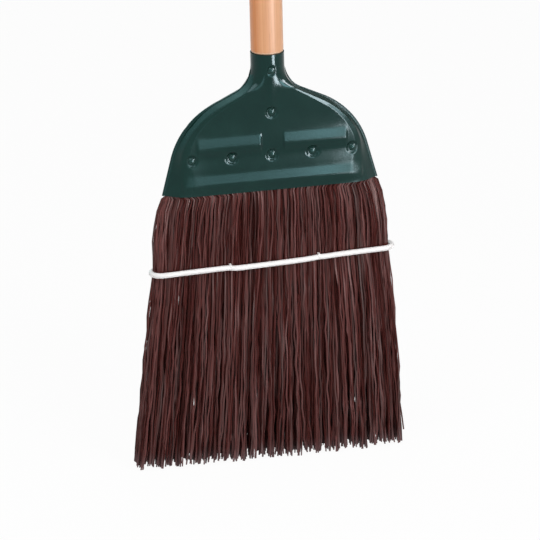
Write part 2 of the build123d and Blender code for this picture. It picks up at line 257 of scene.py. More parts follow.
# Finishes: a noise has its scale, detail and roughness, a mask the span over which it rises,
# a layer its share and colour, and a bump its strength and distance
woodLook = {
    "streaks": ((98.0, 98.0, 1.6), 6.0, 0.6),
    "streakStops": [
        (0.30, (0.52, 0.195, 0.064)),
        (0.45, (0.70, 0.315, 0.130)),
        (0.58, (0.78, 0.410, 0.215)),
        (0.75, (0.60, 0.265, 0.105)),
    ],
    # painted shade down one side of the stick and a painted highlight down its front
    "shadeSideSpan": (-0.0130, -0.0050),
    "paintedShadeSide": (0.6, (0.72, 0.205, 0.032)),
    "highlightRise": (-0.0070, -0.0010),
    "highlightFall": (0.0020, 0.0080),
    "paintedHighlight": (0.35, (0.88, 0.540, 0.370)),
    "fibres": ((900.0, 900.0, 9.0), 3.0, 0.6),
    "fibreSpan": (0.35, 0.75),
    "darkFibre": (0.35, (0.50, 0.215, 0.085)),
    "pores": ((1500.0, 1500.0, 40.0), 2.0, 0.5),
    "poreSpan": (0.66, 0.74),
    "darkPore": (0.45, (0.34, 0.135, 0.055)),
    "chips": (420.0, 3.0, 0.6),
    "bareChip": 0.003,
    "bareSpan": (0.0022, 0.0042),
    "bareRing": (0.7, (0.80, 0.57, 0.40)),
    # painted shadow in the gap where the stick meets the case's rim
    "shadowChip": 0.0016,
    "shadowSpan": (0.0012, 0.0020),
    "rimShadow": (0.85, (0.035, 0.03, 0.018)),
    "sawnSpan": (-0.0030, -0.0010),
    "sawnTop": (0.6, (0.40, 0.19, 0.09)),
    "roughness": 0.32,
    "fibreRough": 0.1,
    "lacquer": {"Coat_Weight": 0.12, "Coat_Roughness": 0.28},
    "bump": (0.12, 0.0004),
}


def lacqueredWood():
    look = woodLook
    finish = Finish("lacqueredWood")
    place = finish.objectPlace()
    across = finish.along(place, "X")
    level = finish.along(place, "Z")
    fibres = finish.noise(place, *look["fibres"])
    chips = finish.noise(place, *look["chips"])
    colour = finish.ramp(finish.noise(place, *look["streaks"]), look["streakStops"])
    # painted shade: a darker, redder band down one side of the stick
    shadedSide = 1 - finish.smooth(across, *look["shadeSideSpan"])
    colour = finish.layer(colour, shadedSide, *look["paintedShadeSide"])
    # painted highlight: a paler band down the front of the stick
    highlightBand = finish.smooth(across, *look["highlightRise"]) - finish.smooth(across, *look["highlightFall"])
    colour = finish.layer(colour, highlightBand, *look["paintedHighlight"])
    fine = finish.smooth(fibres, *look["fibreSpan"])
    colour = finish.layer(colour, fine, *look["darkFibre"])
    dots = finish.smooth(finish.noise(place, *look["pores"]), *look["poreSpan"])
    colour = finish.layer(colour, dots, *look["darkPore"])
    # chipped lacquer and a painted shadow in the gap at the case's rim, and a sawn top
    aboveRim = level - rimZ
    bare = 1 - finish.smooth(aboveRim + chips * look["bareChip"], *look["bareSpan"])
    colour = finish.layer(colour, bare, *look["bareRing"])
    # painted shadow in the gap where the stick meets the case
    rimShade = 1 - finish.smooth(aboveRim + chips * look["shadowChip"], *look["shadowSpan"])
    colour = finish.layer(colour, rimShade, *look["rimShadow"])
    sawn = finish.smooth(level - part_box("handle")[1].z, *look["sawnSpan"])
    finish.set(Base_Color=finish.layer(colour, sawn, *look["sawnTop"]))
    finish.set(Roughness=fine * look["fibreRough"] + look["roughness"], **look["lacquer"])
    finish.bump(fibres, *look["bump"])
    return finish


enamelLook = {
    "clouds": (38.0, 4.0, 0.6),
    "cloudStops": [
        (0.30, (0.0034, 0.0198, 0.0146)),
        (0.55, (0.0042, 0.0234, 0.0173)),
        (0.75, (0.0056, 0.0281, 0.0211)),
    ],
    "dustAndGlints": (1400.0, 1.0, 0.5),
    "dustAndGlintSpan": (0.73, 0.80),
    "speck": (0.25, (0.06, 0.10, 0.09)),
    "roughness": 0.10,
    "cloudRough": 0.08,
    "endRough": 0.16,
    "endSpan": (0.048, 0.082),
    "endTop": (0.052, 0.060),
    "gloss": {"Specular_IOR_Level": 0.25, "Specular_Tint": rgb(0.60, 0.90, 1.0)},
    "peel": (620.0, 2.0, 0.5),
    "bump": (0.05, 0.0006),
}


def greenEnamel():
    look = enamelLook
    finish = Finish("greenEnamel")
    place = finish.objectPlace()
    clouds = finish.noise(place, *look["clouds"])
    # pale dust specks on the enamel
    specks = finish.smooth(finish.noise(place, *look["dustAndGlints"]), *look["dustAndGlintSpan"])
    colour = finish.ramp(clouds, look["cloudStops"])
    finish.set(Base_Color=finish.layer(colour, specks, *look["speck"]))
    # duller at the outer ends of the pressed rolls
    reach = abs(finish.along(place, "X"))
    level = finish.along(place, "Z") - mouthZ
    ends = finish.smooth(reach, *look["endSpan"]) * (1 - finish.smooth(level, *look["endTop"]))
    roughness = clouds * look["cloudRough"] + look["roughness"] + ends * look["endRough"]
    finish.set(Roughness=roughness, **look["gloss"])
    finish.bump(finish.noise(place, *look["peel"]), *look["bump"])
    return finish


rivetLook = {
    "wear": (900.0, 4.0, 0.6),
    "wearSpan": (0.60, 0.74),
    "enamel": (0.0064, 0.0315, 0.0235),
    "worn": (0.3, (0.03, 0.065, 0.058)),
    "roughness": 0.05,
    "wearRough": 0.10,
    "gloss": {"Specular_IOR_Level": 0.30, "Specular_Tint": rgb(0.60, 0.90, 1.0)},
    "bump": (0.04, 0.0004),
}


def rivetEnamel():
    look = rivetLook
    finish = Finish("rivetEnamel")
    wear = finish.noise(finish.objectPlace(), *look["wear"])
    patch = finish.smooth(wear, *look["wearSpan"])
    finish.set(Base_Color=finish.layer(rgb(*look["enamel"]), patch, *look["worn"]))
    finish.set(Roughness=wear * look["wearRough"] + look["roughness"], **look["gloss"])
    finish.bump(wear, *look["bump"])
    return finish


strandLook = {
    "toneStops": [
        (0.0, (0.040, 0.0075, 0.0056)),
        (0.35, (0.088, 0.0165, 0.0132)),
        (0.70, (0.124, 0.0265, 0.0225)),
        (1.0, (0.165, 0.0500, 0.0465)),
    ],
    "grain": ((900.0, 900.0, 110.0), 3.0, 0.6),
    "grainSpan": (0.30, 0.72),
    "darkGrain": (0.45, (0.034, 0.0110, 0.0095)),
    # painted glints: short pale streaks along each strand
    "dustAndGlints": ((650.0, 650.0, 42.0), 2.0, 0.5),
    "dustAndGlintSpan": (0.57, 0.72),
    "paintedGlints": (0.32, (0.205, 0.082, 0.079)),
    "deeper": (0.22, (0.030, 0.0085, 0.0075)),
    "tipSpan": (0.95, 1.0),
    "cutTip": (0.45, (0.15, 0.10, 0.105)),
    "roughness": 0.30,
    "grainRough": 0.2,
    "gloss": {"Specular_IOR_Level": 0.24},
    "bump": (0.25, 0.0003),
}


def strandPlastic():
    look = strandLook
    finish = Finish("strandPlastic")
    place = finish.objectPlace()
    along = finish.attribute("along")
    grain = finish.noise(place, *look["grain"])
    colour = finish.ramp(finish.attribute("tone"), look["toneStops"])
    colour = finish.layer(colour, finish.smooth(grain, *look["grainSpan"]), *look["darkGrain"])
    # painted glints: short pale streaks along each strand, laid on as colour
    dustAndGlints = finish.smooth(finish.noise(place, *look["dustAndGlints"]), *look["dustAndGlintSpan"])
    colour = finish.layer(colour, dustAndGlints, *look["paintedGlints"])
    colour = finish.layer(colour, along, *look["deeper"])
    tips = finish.smooth(along, *look["tipSpan"])
    finish.set(Base_Color=finish.layer(colour, tips, *look["cutTip"]))
    finish.set(Roughness=grain * look["grainRough"] + look["roughness"], **look["gloss"])
    finish.bump(grain, *look["bump"])
    return finish


coatingLook = {
    "grime": (130.0, 5.0, 0.65),
    "grimeSpan": (0.52, 0.78),
    "white": (0.90, 0.885, 0.88),
    "dulled": (0.3, (0.64, 0.615, 0.605)),
    "roughness": 0.30,
    "grimeRough": 0.15,
    "fine": (900.0, 2.0, 0.5),
    "bump": (0.06, 0.0004),
}


def whiteCoating():
    look = coatingLook
    finish = Finish("whiteCoating")
    place = finish.objectPlace()
    dull = finish.smooth(finish.noise(place, *look["grime"]), *look["grimeSpan"])
    finish.set(Base_Color=finish.layer(rgb(*look["white"]), dull, *look["dulled"]))
    finish.set(Roughness=dull * look["grimeRough"] + look["roughness"])
    finish.bump(finish.noise(place, *look["fine"]), *look["bump"])
    return finish


finishes = {
    "wood": lacqueredWood(),
    "enamel": greenEnamel(),
    "rivet": rivetEnamel(),
    "strand": strandPlastic(),
    "coating": whiteCoating(),
}
print("finishes ready")


# Handle: a turned stick with a rounded top, drawn in below the rim to a tenon
handleShape = {
    "sides": 96,
    "dome": 0.006,
    "domeRings": 9,
    "chamfer": 0.0006,
    "chamferRise": 0.0022,
    "tenon": 0.0135,
    "tenonRun": 0.012,
    "tongueHalf": 0.0105,
    "smoothAngle": math.radians(40),
}


def makeHandle():
    shape = handleShape
    low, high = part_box("handle")
    radius = high.x
    straightTop = high.z - shape["dome"]
    footZ = rimZ + shape["chamferRise"]
    level = 0.9  # a face that lies flat has at least this much of its normal upright
    startFresh()
    bpy.ops.mesh.primitive_cylinder_add(
        vertices=shape["sides"],
        radius=radius,
        depth=straightTop - footZ,
        location=(0, 0, (straightTop + footZ) / 2),
        end_fill_type="NGON",
    )
    stick = settle("handleStick")
    bpy.ops.object.mode_set(mode="EDIT")
    bpy.ops.mesh.select_mode(type="FACE")
    pickFaces(stick, lambda face: face.normal.z > level)
    turns = [math.pi / 2 * ring / shape["domeRings"] for ring in range(shape["domeRings"])]
    for before, turn in zip(turns, turns[1:]):  # rounded top, ring by ring
        extrudeBy(shape["dome"] * (math.sin(turn) - math.sin(before)))
        shrink = math.cos(turn) / math.cos(before)
        widenBy(shrink, shrink)
    pickFaces(stick, lambda face: face.normal.z < -level)
    drawn = 1 - shape["chamfer"] / radius
    extrudeBy(rimZ - footZ)
    widenBy(drawn, drawn)
    bpy.ops.mesh.inset(thickness=radius - shape["chamfer"] - shape["tenon"])
    extrudeBy(-shape["tenonRun"])
    extrudeBy(low.z - rimZ + shape["tenonRun"])
    widenBy(1, shape["tongueHalf"] / shape["tenon"])
    bpy.ops.object.mode_set(mode="OBJECT")
    bpy.ops.object.shade_smooth_by_angle(angle=shape["smoothAngle"])
    dress(stick, finishes["wood"], "handle")


makeHandle()
print("handle done")


# Pressed case: heights run up from its mouth, depths from the seam between its halves
caseShape = {
    "across": 236,
    "up": 203,
    "edgeRuns": [30, 6, 10, 4],
    "creases": [0.05, 0.51, 0.67, 0.95],
    "rowHalf": 0.078,
    "wallDense": (0.06, 2.0),
    "panelDense": (0.10, 1.6),
    "levelDense": (0.009, 1.4),
    "smoothAngle": math.radians(75),
    "sheet": 0.0008,
    "neckRadius": 0.0148,
    "neckRun": 0.010,
    "roundSpan": (0.090, 0.108),
    "neckFlat": 0.003,
    "hemWidth": 0.002,
    "hemLip": 0.00042,
    "hemGap": 0.00005,
    "hemTop": 0.064,
    "hemRun": 0.008,
    "hemFade": (0.060, 0.082),
    "hemNarrow": 0.75,
    "sideLean": math.radians(15.0),
    "shoulderLean": math.radians(65.0),
    "shoulderHeight": 0.095,
    "shoulderRadius": 0.071,
    "neckFillet": 0.026,
    "slantStep": 0.0005,
    "depth": 0.0124,
    "mouthCorner": 0.026,
    "foldAngle": math.radians(38.0),
    "foldFull": 0.050,
    "roundPull": 4 / 3 * (math.sqrt(2) - 1),
    "rimRuns": [0.09, 0.42, 0.16, 0.25, 0.08],
    "facetKnots": [0, 1, 1, 0, 0, 0],
    "wallKnots": [0, 0, 0, 1, 1, 0],
    "facetSlope": 0.488,
    "fallSteps": 600,
    "creaseHeights": [0.0, 0.036, 0.058, 0.069, 0.078, 0.087, 0.0925, 0.0965, 0.1000, 0.1125],
    "creasePlaces": [0.087, 0.0775, 0.0650, 0.0545, 0.0405, 0.0258, 0.0168, 0.0110, 0.0072, 0.0030],
    "creaseSoft": 0.003,
    "creaseSteps": 9,
    "rearCorner": 0.0070,
    "rollRise": 0.0016,
    "rollRound": 0.0022,
    "rollEnd": 0.0015,
    "rollFade": 4,
    "lowerRoll": {"crest": 0.0085, "top": 0.0185, "foot": 0.0025, "half": 0.081},
    "upperRoll": {"crest": 0.0410, "top": 0.0525, "foot": 0.0340, "half": 0.067},
    "splitHalf": 0.0100,
    "splitEnd": 0.0005,
    "valley": 0.0006,
    "valleySpread": 0.008,
    "swellHeight": 0.055,
    "crestRise": 0.00020,
    "crestHeight": 0.090,
    "crestSpread": 0.013,
    "ridgeWidth": 0.0030,
}
rivetPlan = {
    "rowCount": 5,
    "head": 0.0033,
    "dimpleDepth": 0.0012,
    "seat": 0.0038,
    "rim": 0.0062,
    "neckSeat": 0.0006,
    "neckRim": 0.0052,
    "rowHeight": middle("row_rivets", 2) - mouthZ,
    "crownHeight": middle("crown_rivet", 2) - mouthZ,
    "neckHeight": middle("neck_rivet", 2) - mouthZ,
}
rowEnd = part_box("row_rivets")[1].x - rivetPlan["head"]
rowPlaces = np.linspace(-rowEnd, rowEnd, rivetPlan["rowCount"]).tolist()
rivetSpots = [(place, rivetPlan["rowHeight"]) for place in rowPlaces]
rivetSpots.append((0.0, rivetPlan["crownHeight"]))


def outlineHalfWidth(height, inset):
    # a leaning side, a round shoulder, a sloping top and a fillet up to the neck
    lean = caseShape["sideLean"]
    slope = caseShape["shoulderLean"]
    neck = caseShape["neckRadius"]
    foot = caseHigh.x - inset / math.cos(lean)
    crest = caseShape["shoulderHeight"] - inset / math.sin(slope)
    corner = (neck + crest * math.tan(slope) - foot) / (math.tan(slope) - math.tan(lean))
    shoulder = caseShape["shoulderRadius"] - inset
    fillet = caseShape["neckFillet"] + inset
    arcLow = corner - shoulder * math.tan((slope - lean) / 2) * math.cos(lean)
    arcHigh = corner + shoulder * math.tan((slope - lean) / 2) * math.cos(slope)
    filletLow = crest - fillet * math.tan(slope / 2) * math.cos(slope)
    filletHigh = crest + fillet * math.tan(slope / 2)
    centre = foot - arcLow * math.tan(lean) - shoulder * math.cos(lean)
    rise = height - arcLow + shoulder * math.sin(lean)
    onSide = foot - height * math.tan(lean)
    onShoulder = centre + np.sqrt(np.maximum(shoulder**2 - rise**2, 0))
    onTop = neck + (crest - height) * math.tan(slope)
    onFillet = neck + fillet - np.sqrt(np.maximum(fillet**2 - (filletHigh - height) ** 2, 0))
    tests = [height < arcLow, height < arcHigh, height < filletLow, height < filletHigh]
    return np.select(tests, [onSide, onShoulder, onTop, onFillet], neck)


def outlineSlant(height):
    step = caseShape["slantStep"]
    return (outlineHalfWidth(height - step, 0.0) - outlineHalfWidth(height + step, 0.0)) / (2 * step)


def rounded(value, edge, radius):
    # a ramp that starts at edge, with its kink rounded
    away = (value - edge) / radius
    return radius * np.where(away < -1, 0, np.where(away > 1, away, (away + 1) ** 2 / 4))


def rollSwell(reach, height, roll):
    # a straight slope down to the crest and a shorter one back to the panel
    bend = caseShape["rollRound"]
    fall = rounded(height, roll["crest"], bend) - rounded(height, roll["top"], bend)
    back = rounded(-height, -roll["crest"], bend) - rounded(-height, -roll["foot"], bend)
    swell = 1 - fall / (roll["top"] - roll["crest"]) - back / (roll["crest"] - roll["foot"])
    end = caseShape["rollEnd"]
    window = 1 - ease(reach, roll["half"] - end, roll["half"] + end)
    return caseShape["rollRise"] * swell * window


def rollsRise(reach, height):
    # the lower roll runs right across, the upper one is split at the middle
    shape = caseShape
    split = ease(reach, shape["splitHalf"] - shape["splitEnd"], shape["splitHalf"] + shape["splitEnd"])
    upper = rollSwell(reach, height, shape["upperRoll"]) * split
    return rollSwell(reach, height, shape["lowerRoll"]) + upper


def panelDepth(reach, height):
    shape = caseShape
    depth = shape["depth"] - shape["valley"] * bell(height, rivetPlan["rowHeight"], shape["valleySpread"])
    swollen = ease(height, shape["swellHeight"], caseHeight - shape["neckRun"])
    depth = depth + (shape["neckRadius"] - depth) * swollen
    ridge = shape["crestRise"] * bell(height, shape["crestHeight"], shape["crestSpread"])
    return depth + ridge * bell(reach, 0.0, shape["ridgeWidth"])


def creasePlace(height):
    # where the panel ends at each height, with the bends between its places smoothed
    shape = caseShape
    places = [
        np.interp(height + away, shape["creaseHeights"], shape["creasePlaces"])
        for away in np.linspace(-1, 1, shape["creaseSteps"]) * shape["creaseSoft"]
    ]
    return sum(places) / len(places)


def cornerWidth(height, half, slant, rear):
    # how far the bend from the panel to the flange reaches
    shape = caseShape
    shoulder = half - creasePlace(height)
    if rear:
        shoulder = np.maximum(shoulder, shape["rearCorner"] * np.hypot(1, slant))
    folded = ease(height, 0, shape["foldFull"])
    corner = shape["mouthCorner"] + (shoulder - shape["mouthCorner"]) * folded
    return np.minimum(corner, half - shape["neckFlat"])


def rimFall(share, steep):
    # share of the drop from panel to flange: a narrow facet of fixed slope,
    # then a wall as steep as it must be
    knots = np.concatenate([[0.0], np.cumsum(caseShape["rimRuns"])])
    fine = np.linspace(0, 1, caseShape["fallSteps"])
    runs = []
    for slopes in (caseShape["facetKnots"], caseShape["wallKnots"]):
        slope = np.interp(fine, knots, slopes)
        runs.append(np.concatenate([[0.0], np.cumsum((slope[1:] + slope[:-1]) / 2)]) * fine[1])
    facet, wall = runs
    facetSlope = np.minimum(caseShape["facetSlope"], steep)
    wallSlope = (steep - facetSlope * facet[-1]) / wall[-1]
    return (facetSlope * np.interp(share, fine, facet) + wallSlope * np.interp(share, fine, wall)) / steep


def shallowFold(share, half, corner, depth, foot):
    # the panel's side at the mouth, from its flat to the seam
    pull = caseShape["roundPull"]
    drop = (depth - foot) * pull
    flat = half - corner
    handlesX = [flat, flat + corner * pull, half - drop / math.tan(caseShape["foldAngle"]), half]
    handlesY = [depth, depth, foot + drop, foot]
    weights = [(1 - share) ** 3, 3 * share * (1 - share) ** 2, 3 * share**2 * (1 - share), share**3]
    x = sum(weight * handle for weight, handle in zip(weights, handlesX))
    y = sum(weight * handle for weight, handle in zip(weights, handlesY))
    return x, y


def seated(across, height, depth):
    # a flat round seat for each rivet of the row and the crown
    for place, level in rivetSpots:
        away = np.hypot(across - place, height - level)
        seat = panelDepth(abs(place), level) - rivetPlan["dimpleDepth"]
        depth = depth + (seat - depth) * (1 - ease(away, rivetPlan["seat"], rivetPlan["rim"]))
    return depth


def pressedSection(side, run, height, half, foot, rear):
    # panel and wall, turning into the round neck further up
    shape = caseShape
    slant = outlineSlant(height)
    corner = cornerWidth(height, half, slant, rear)
    flat = half - corner
    edgeDepth = panelDepth(flat, height)
    inner = np.minimum(run, 1)
    share = np.clip(run - 1, 0, 1)
    onWall = run > 1
    steep = (edgeDepth - foot) / (corner / np.hypot(1, slant))
    wallX = flat + corner * share
    wallY = foot + (edgeDepth - foot) * (1 - rimFall(share, steep))
    shallowX, shallowY = shallowFold(share, half, corner, edgeDepth, foot)
    folded = ease(height, 0, shape["foldFull"])
    x = np.where(onWall, shallowX + (wallX - shallowX) * folded, flat * inner)
    y = np.where(onWall, shallowY + (wallY - shallowY) * folded, panelDepth(flat * inner, height))
    y = seated(side * x, height, y + rollsRise(x, height) * (1 - share ** shape["rollFade"]))
    first = np.arcsin(np.clip(flat / half, 0, 1))
    turn = np.where(onWall, first + (math.pi / 2 - first) * share, first * inner)
    rounder = ease(height, *shape["roundSpan"])
    x = x + (half * np.sin(turn) - x) * rounder
    y = y + (edgeDepth * np.cos(turn) - y) * rounder
    away = np.hypot(x, height - rivetPlan["neckHeight"])
    flush = shape["neckRadius"] - rivetPlan["neckSeat"]
    return x, y + (flush - y) * (1 - ease(away, rivetPlan["seat"], rivetPlan["neckRim"]))


def hemmed(run, x, y, outer, foot, held):
    # the front half's edge, rolled round the rear one's flange
    shape = caseShape
    back = (2 * shape["sheet"] + shape["hemGap"]) * held
    radius = (foot + back) / 2
    bend = np.clip(run - 3, 0, 1) * math.pi
    lip = shape["hemLip"] * held * np.clip(run - 4, 0, 1)
    onEdge = run > 3
    onLip = run > 4
    x = np.where((run > 2) & ~onEdge, np.minimum(x, outer - radius), x)
    x = np.where(onEdge, outer - radius + radius * np.sin(bend), x)
    y = np.where(onEdge, foot - radius + radius * np.cos(bend), y)
    return np.where(onLip, outer - radius - lip, x), np.where(onLip, foot - 2 * radius, y)


def caseSection(across, height, rear):
    # across is 0 at the middle, 1 at the panel's edge, 2 at the wall's foot,
    # 3 at the flange's edge, 4 behind the hem and 5 at its lip
    shape = caseShape
    side = np.sign(across)
    run = np.abs(across)
    narrowed = 1 - shape["hemNarrow"] * ease(height, *shape["hemFade"])
    half = outlineHalfWidth(height, shape["hemWidth"] * narrowed)
    outer = outlineHalfWidth(height, 0.0)
    foot = shape["sheet"] * (1 - ease(height, *shape["roundSpan"]))
    held = 1 - ease(height, shape["hemTop"] - shape["hemRun"], shape["hemTop"])
    x, y = pressedSection(side, run, height, half, foot, rear)
    stop = (shape["sheet"] + shape["hemGap"]) * held if rear else 0.0
    onFlange = run > 2
    x = np.where(onFlange, half + (outer - stop - half) * np.clip(run - 2, 0, 1), x)
    y = np.where(onFlange, foot, y)
    if not rear:
        x, y = hemmed(run, x, y, outer, foot, held)
    return side * x, -y


def denser(count, start, stop, places, spread, gain, samples=4000):
    # stations that crowd round some places
    fine = np.linspace(start, stop, samples)
    density = np.ones_like(fine)
    for place in places:
        density = density + gain * bell(fine, place, spread)
    total = np.concatenate([[0], np.cumsum((density[1:] + density[:-1]) / 2)])
    return np.interp(np.linspace(0, total[-1], count), total, fine)


def acrossStations(rear):
    shape = caseShape
    edges = shape["edgeRuns"][: 2 if rear else 4]  # the rear half ends at its flange
    wall = [1 + denser(edges[0] + 1, 0, 1, shape["creases"], *shape["wallDense"])[1:]]
    wall += [at + np.arange(1, count + 1) / count for at, count in enumerate(edges[1:], start=2)]
    wall = np.concatenate(wall)
    lines = rowPlaces + [-shape["splitHalf"], shape["splitHalf"]]
    lines = [place / shape["rowHalf"] for place in lines]
    panel = denser(shape["across"] - 2 * len(wall), -1, 1, lines, *shape["panelDense"])
    return np.concatenate([-wall[::-1], panel, wall])


def makeCaseHalf(name, node, rear):
    shape = caseShape
    columns = shape["across"]
    rows = shape["up"]
    startFresh()
    bpy.ops.mesh.primitive_grid_add(x_subdivisions=columns - 1, y_subdivisions=rows - 1, size=2)
    half = settle(name)
    grid = readPoints(half.data)
    column = np.rint((grid[:, 0] + 1) / 2 * (columns - 1)).astype(int)
    row = np.rint((grid[:, 1] + 1) / 2 * (rows - 1)).astype(int)
    crowded = [rivetPlan["rowHeight"], rivetPlan["crownHeight"], shape["crestHeight"]]
    height = denser(rows, 0, caseHeight, crowded, *shape["levelDense"])[row]
    x, y = caseSection(acrossStations(rear)[column], height, rear)
    writePoints(half.data, np.stack([x, -y if rear else y, mouthZ + height], axis=1))
    bpy.ops.object.mode_set(mode="EDIT")
    bpy.ops.mesh.select_all(action="SELECT")
    bpy.ops.mesh.quads_convert_to_tris(quad_method="SHORTEST_DIAGONAL")
    if rear:
        bpy.ops.mesh.flip_normals()
    bpy.ops.object.mode_set(mode="OBJECT")
    wallThickness = half.modifiers.new("sheet", "SOLIDIFY")
    wallThickness.thickness = shape["sheet"]
    wallThickness.offset = -1
    bpy.ops.object.modifier_apply(modifier="sheet")
    bpy.ops.object.shade_smooth_by_angle(angle=shape["smoothAngle"])
    dress(half, finishes["enamel"], node)


makeCaseHalf("caseFront", "case_front", False)
makeCaseHalf("caseRear", "case_rear", True)
print("case done")

# Rivets: the solids' own, enamelled
for node in ("neck_rivet", "crown_rivet", "row_rivets"):
    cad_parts[node].data.materials.clear()
    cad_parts[node].data.materials.append(finishes["rivet"].material)
print("rivets done")


# Binding wire: a flat loop round the waist of the fill, drawn in by two ties
wireShape = {
    "around": 200,
    "sides": 18,
    "pinch": 0.0009,
    "pinchSpread": 0.0035,
    "kink": 0.0007,
    "leftKinkRun": 0.004,
    "rightKinkRun": 0.02,
    "tilt": 0.028,
}
tieShape = {
    "around": 72,
    "sides": 10,
    "turns": 2,
    "thickness": 0.00045,
    "pitch": 0.000945,
    "sink": 0.0004,
    "slant": 0.12,
}


def loopPath(turn, straight, radius):
    # turn runs 0 to 1 round a loop of two straight runs and two round ends, from the front middle
    length = 4 * straight + 2 * math.pi * radius
    gone = (np.asarray(turn) % 1.0) * length
    bend = math.pi * radius
    first = np.clip(gone, 0, straight)
    angle = np.clip(gone - straight, 0, bend) / radius
    second = np.clip(gone - straight - bend, 0, 2 * straight)
    angle = angle + np.clip(gone - 3 * straight - bend, 0, bend) / radius
    third = np.clip(gone - 3 * straight - 2 * bend, 0, straight)
    along = first - second + third + radius * np.sin(angle)
    return along, -radius * np.cos(angle), np.sin(angle), -np.cos(angle)


def loopPiece(name, straight, radius, thickness, shape):
    # a ring, and where its points go on such a loop
    startFresh()
    bpy.ops.mesh.primitive_torus_add(
        major_segments=shape["around"],
        minor_segments=shape["sides"],
        major_radius=1.0,
        minor_radius=0.25,
    )
    piece = settle(name)
    points = readPoints(piece.data)
    turn = np.arctan2(points[:, 1], points[:, 0]) / (2 * math.pi)
    ring = np.arctan2(points[:, 2], np.hypot(points[:, 0], points[:, 1]) - 1.0)
    along, across, outAlong, outAcross = loopPath(turn, straight, radius)
    reach = thickness * np.cos(ring)
    return piece, along + outAlong * reach, across + outAcross * reach, thickness * np.sin(ring)


def makeTie(name, node, place, reach, wire):
    shape = tieShape
    radius = wire + shape["thickness"] - shape["sink"]
    level = waistZ + wireShape["tilt"] * place
    turns = []
    for turn in range(shape["turns"]):
        piece, along, across, out = loopPiece(f"{node}_{turn}", reach, radius, shape["thickness"], shape)
        shift = (turn - (shape["turns"] - 1) / 2) * shape["pitch"]
        x = place + shift + out + shape["slant"] * across
        writePoints(piece.data, np.stack([x, along, level + across], axis=1))
        faceOutwards()
        bpy.ops.object.shade_smooth()
        turns.append(piece)
    activate(*turns)
    bpy.ops.object.join()
    tie = bpy.context.object
    tie.name = name
    dress(tie, finishes["coating"], node)


def makeBinding():
    shape = wireShape
    low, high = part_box("binding_wire")
    thickness = (high.z - low.z) / 2
    radius = high.y - thickness
    tieX = middle("cross_tie_right", 0)
    piece, x, y, z = loopPiece("bindingWire", high.x - thickness - radius, radius, thickness, shape)
    pinch = bell(x, -tieX, shape["pinchSpread"]) + bell(x, tieX, shape["pinchSpread"])
    kink = np.tanh((-tieX - x) / shape["leftKinkRun"]) + np.tanh((x - tieX) / shape["rightKinkRun"])
    y = y - np.sign(y) * shape["pinch"] * pinch
    z = z + shape["kink"] * kink + waistZ + shape["tilt"] * x
    writePoints(piece.data, np.stack([x, y, z], axis=1))
    bpy.ops.object.shade_smooth()
    dress(piece, finishes["coating"], "binding_wire")
    makeTie("tieLeft", "cross_tie_left", -tieX, radius - shape["pinch"], thickness)
    makeTie("tieRight", "cross_tie_right", tieX, radius - shape["pinch"], thickness)


makeBinding()
print("binding done")


# Fill: wavy strands, from their roots in the case to their ragged tips
fillShape = {
    "seed": 11,
    "sides": 3,
    "joints": 18,
    "rows": 9,
    "bayColumns": [10, 32, 32, 32, 32, 10],
    "bayRoom": 0.00275,
    "stagger": 0.382,
    "jitter": 0.15,
    "width": 0.00088,
    "widthRange": (0.85, 1.12),
    "thickness": 0.00072,
    "thicknessRange": (0.85, 1.15),
    "smoothAngle": math.radians(60),
    "rootHeight": 0.038,
    "rootHalf": 0.0780,
    "rootHalfDepth": 0.0080,
    "rootClear": 0.02,
    "mouthHalf": 0.0940,
    "mouthClear": 0.0011,
    "mouthLeast": 0.0005,
    "mouthSamples": 200,
    "squeezePower": 24,
    "edgePower": 9,
    "edgeLeast": 0.06,
    "lip": {"drop": 0.003, "half": 0.0973},
    "flare": {"drop": 0.014, "half": 0.1010},
    "shoulder": {"drop": 0.042, "half": 0.1046, "depth": 0.0078},
    "waist": {"drop": mouthZ - waistZ, "half": 0.1060, "depth": 0.0059},
    "skirt": {"drop": 0.098, "half": 0.1094, "depth": 0.0078},
    "tip": {"half": 0.1222, "depth": 0.0152, "round": 0.55},
    "lean": -0.0080,
    "tilt": 0.0008,
    "crimpAcross": 0.00055,
    "crimpDeep": 0.00033,
    "bowAbove": 0.0013,
    "bowBelow": 0.00182,
    "freeRun": 0.03,
    "calmRun": 0.030,
    "calmLeast": 0.3,
    "holdRun": 0.025,
    "wander": 0.0022,
    "spin": 2.2,
    "ragged": 0.005,
    "raggedSpread": (0.30, 0.35),
    "clump": 0.0085,
    "clumpPull": 0.35,
    "clumpRise": 0.0030,
}


def strandPattern():
    # one straight strand, with the joint that each of its points belongs to, from the root down
    startFresh()
    bpy.ops.mesh.primitive_cylinder_add(
        vertices=fillShape["sides"], radius=1, depth=1, end_fill_type="NGON"
    )
    pattern = settle("strandPattern")
    bpy.ops.object.mode_set(mode="EDIT")
    bpy.ops.mesh.select_mode(type="EDGE")
    # its long edges, cut into three rings at the case and one for each joint below
    pickEdges(pattern, lambda edge: abs(edge.verts[0].co.z - edge.verts[1].co.z) > 0.5)
    bpy.ops.mesh.subdivide(number_cuts=fillShape["joints"] + 1)
    bpy.ops.object.mode_set(mode="OBJECT")
    points = readPoints(pattern.data)
    faces = [tuple(face.vertices) for face in pattern.data.polygons]
    bpy.data.objects.remove(pattern)
    last = fillShape["joints"] + 2
    joint = np.rint((0.5 - points[:, 2]) * last).astype(int)
    return {"points": points, "faces": faces, "joint": joint, "along": joint / last}


def bayEdges():
    room = fillShape["bayRoom"]
    lefts = [-fillShape["rootHalf"]] + [place + room for place in rowPlaces]
    rights = [place - room for place in rowPlaces] + [fillShape["rootHalf"]]
    return list(zip(lefts, rights))


def squeezed(spread):
    # the flare's place, held back to the mouth's half width
    wide = abs(spread) * fillShape["flare"]["half"]
    power = fillShape["squeezePower"]
    held = (wide**-power + fillShape["mouthHalf"] ** -power) ** (-1 / power) if wide else 0.0
    return math.copysign(held, spread)


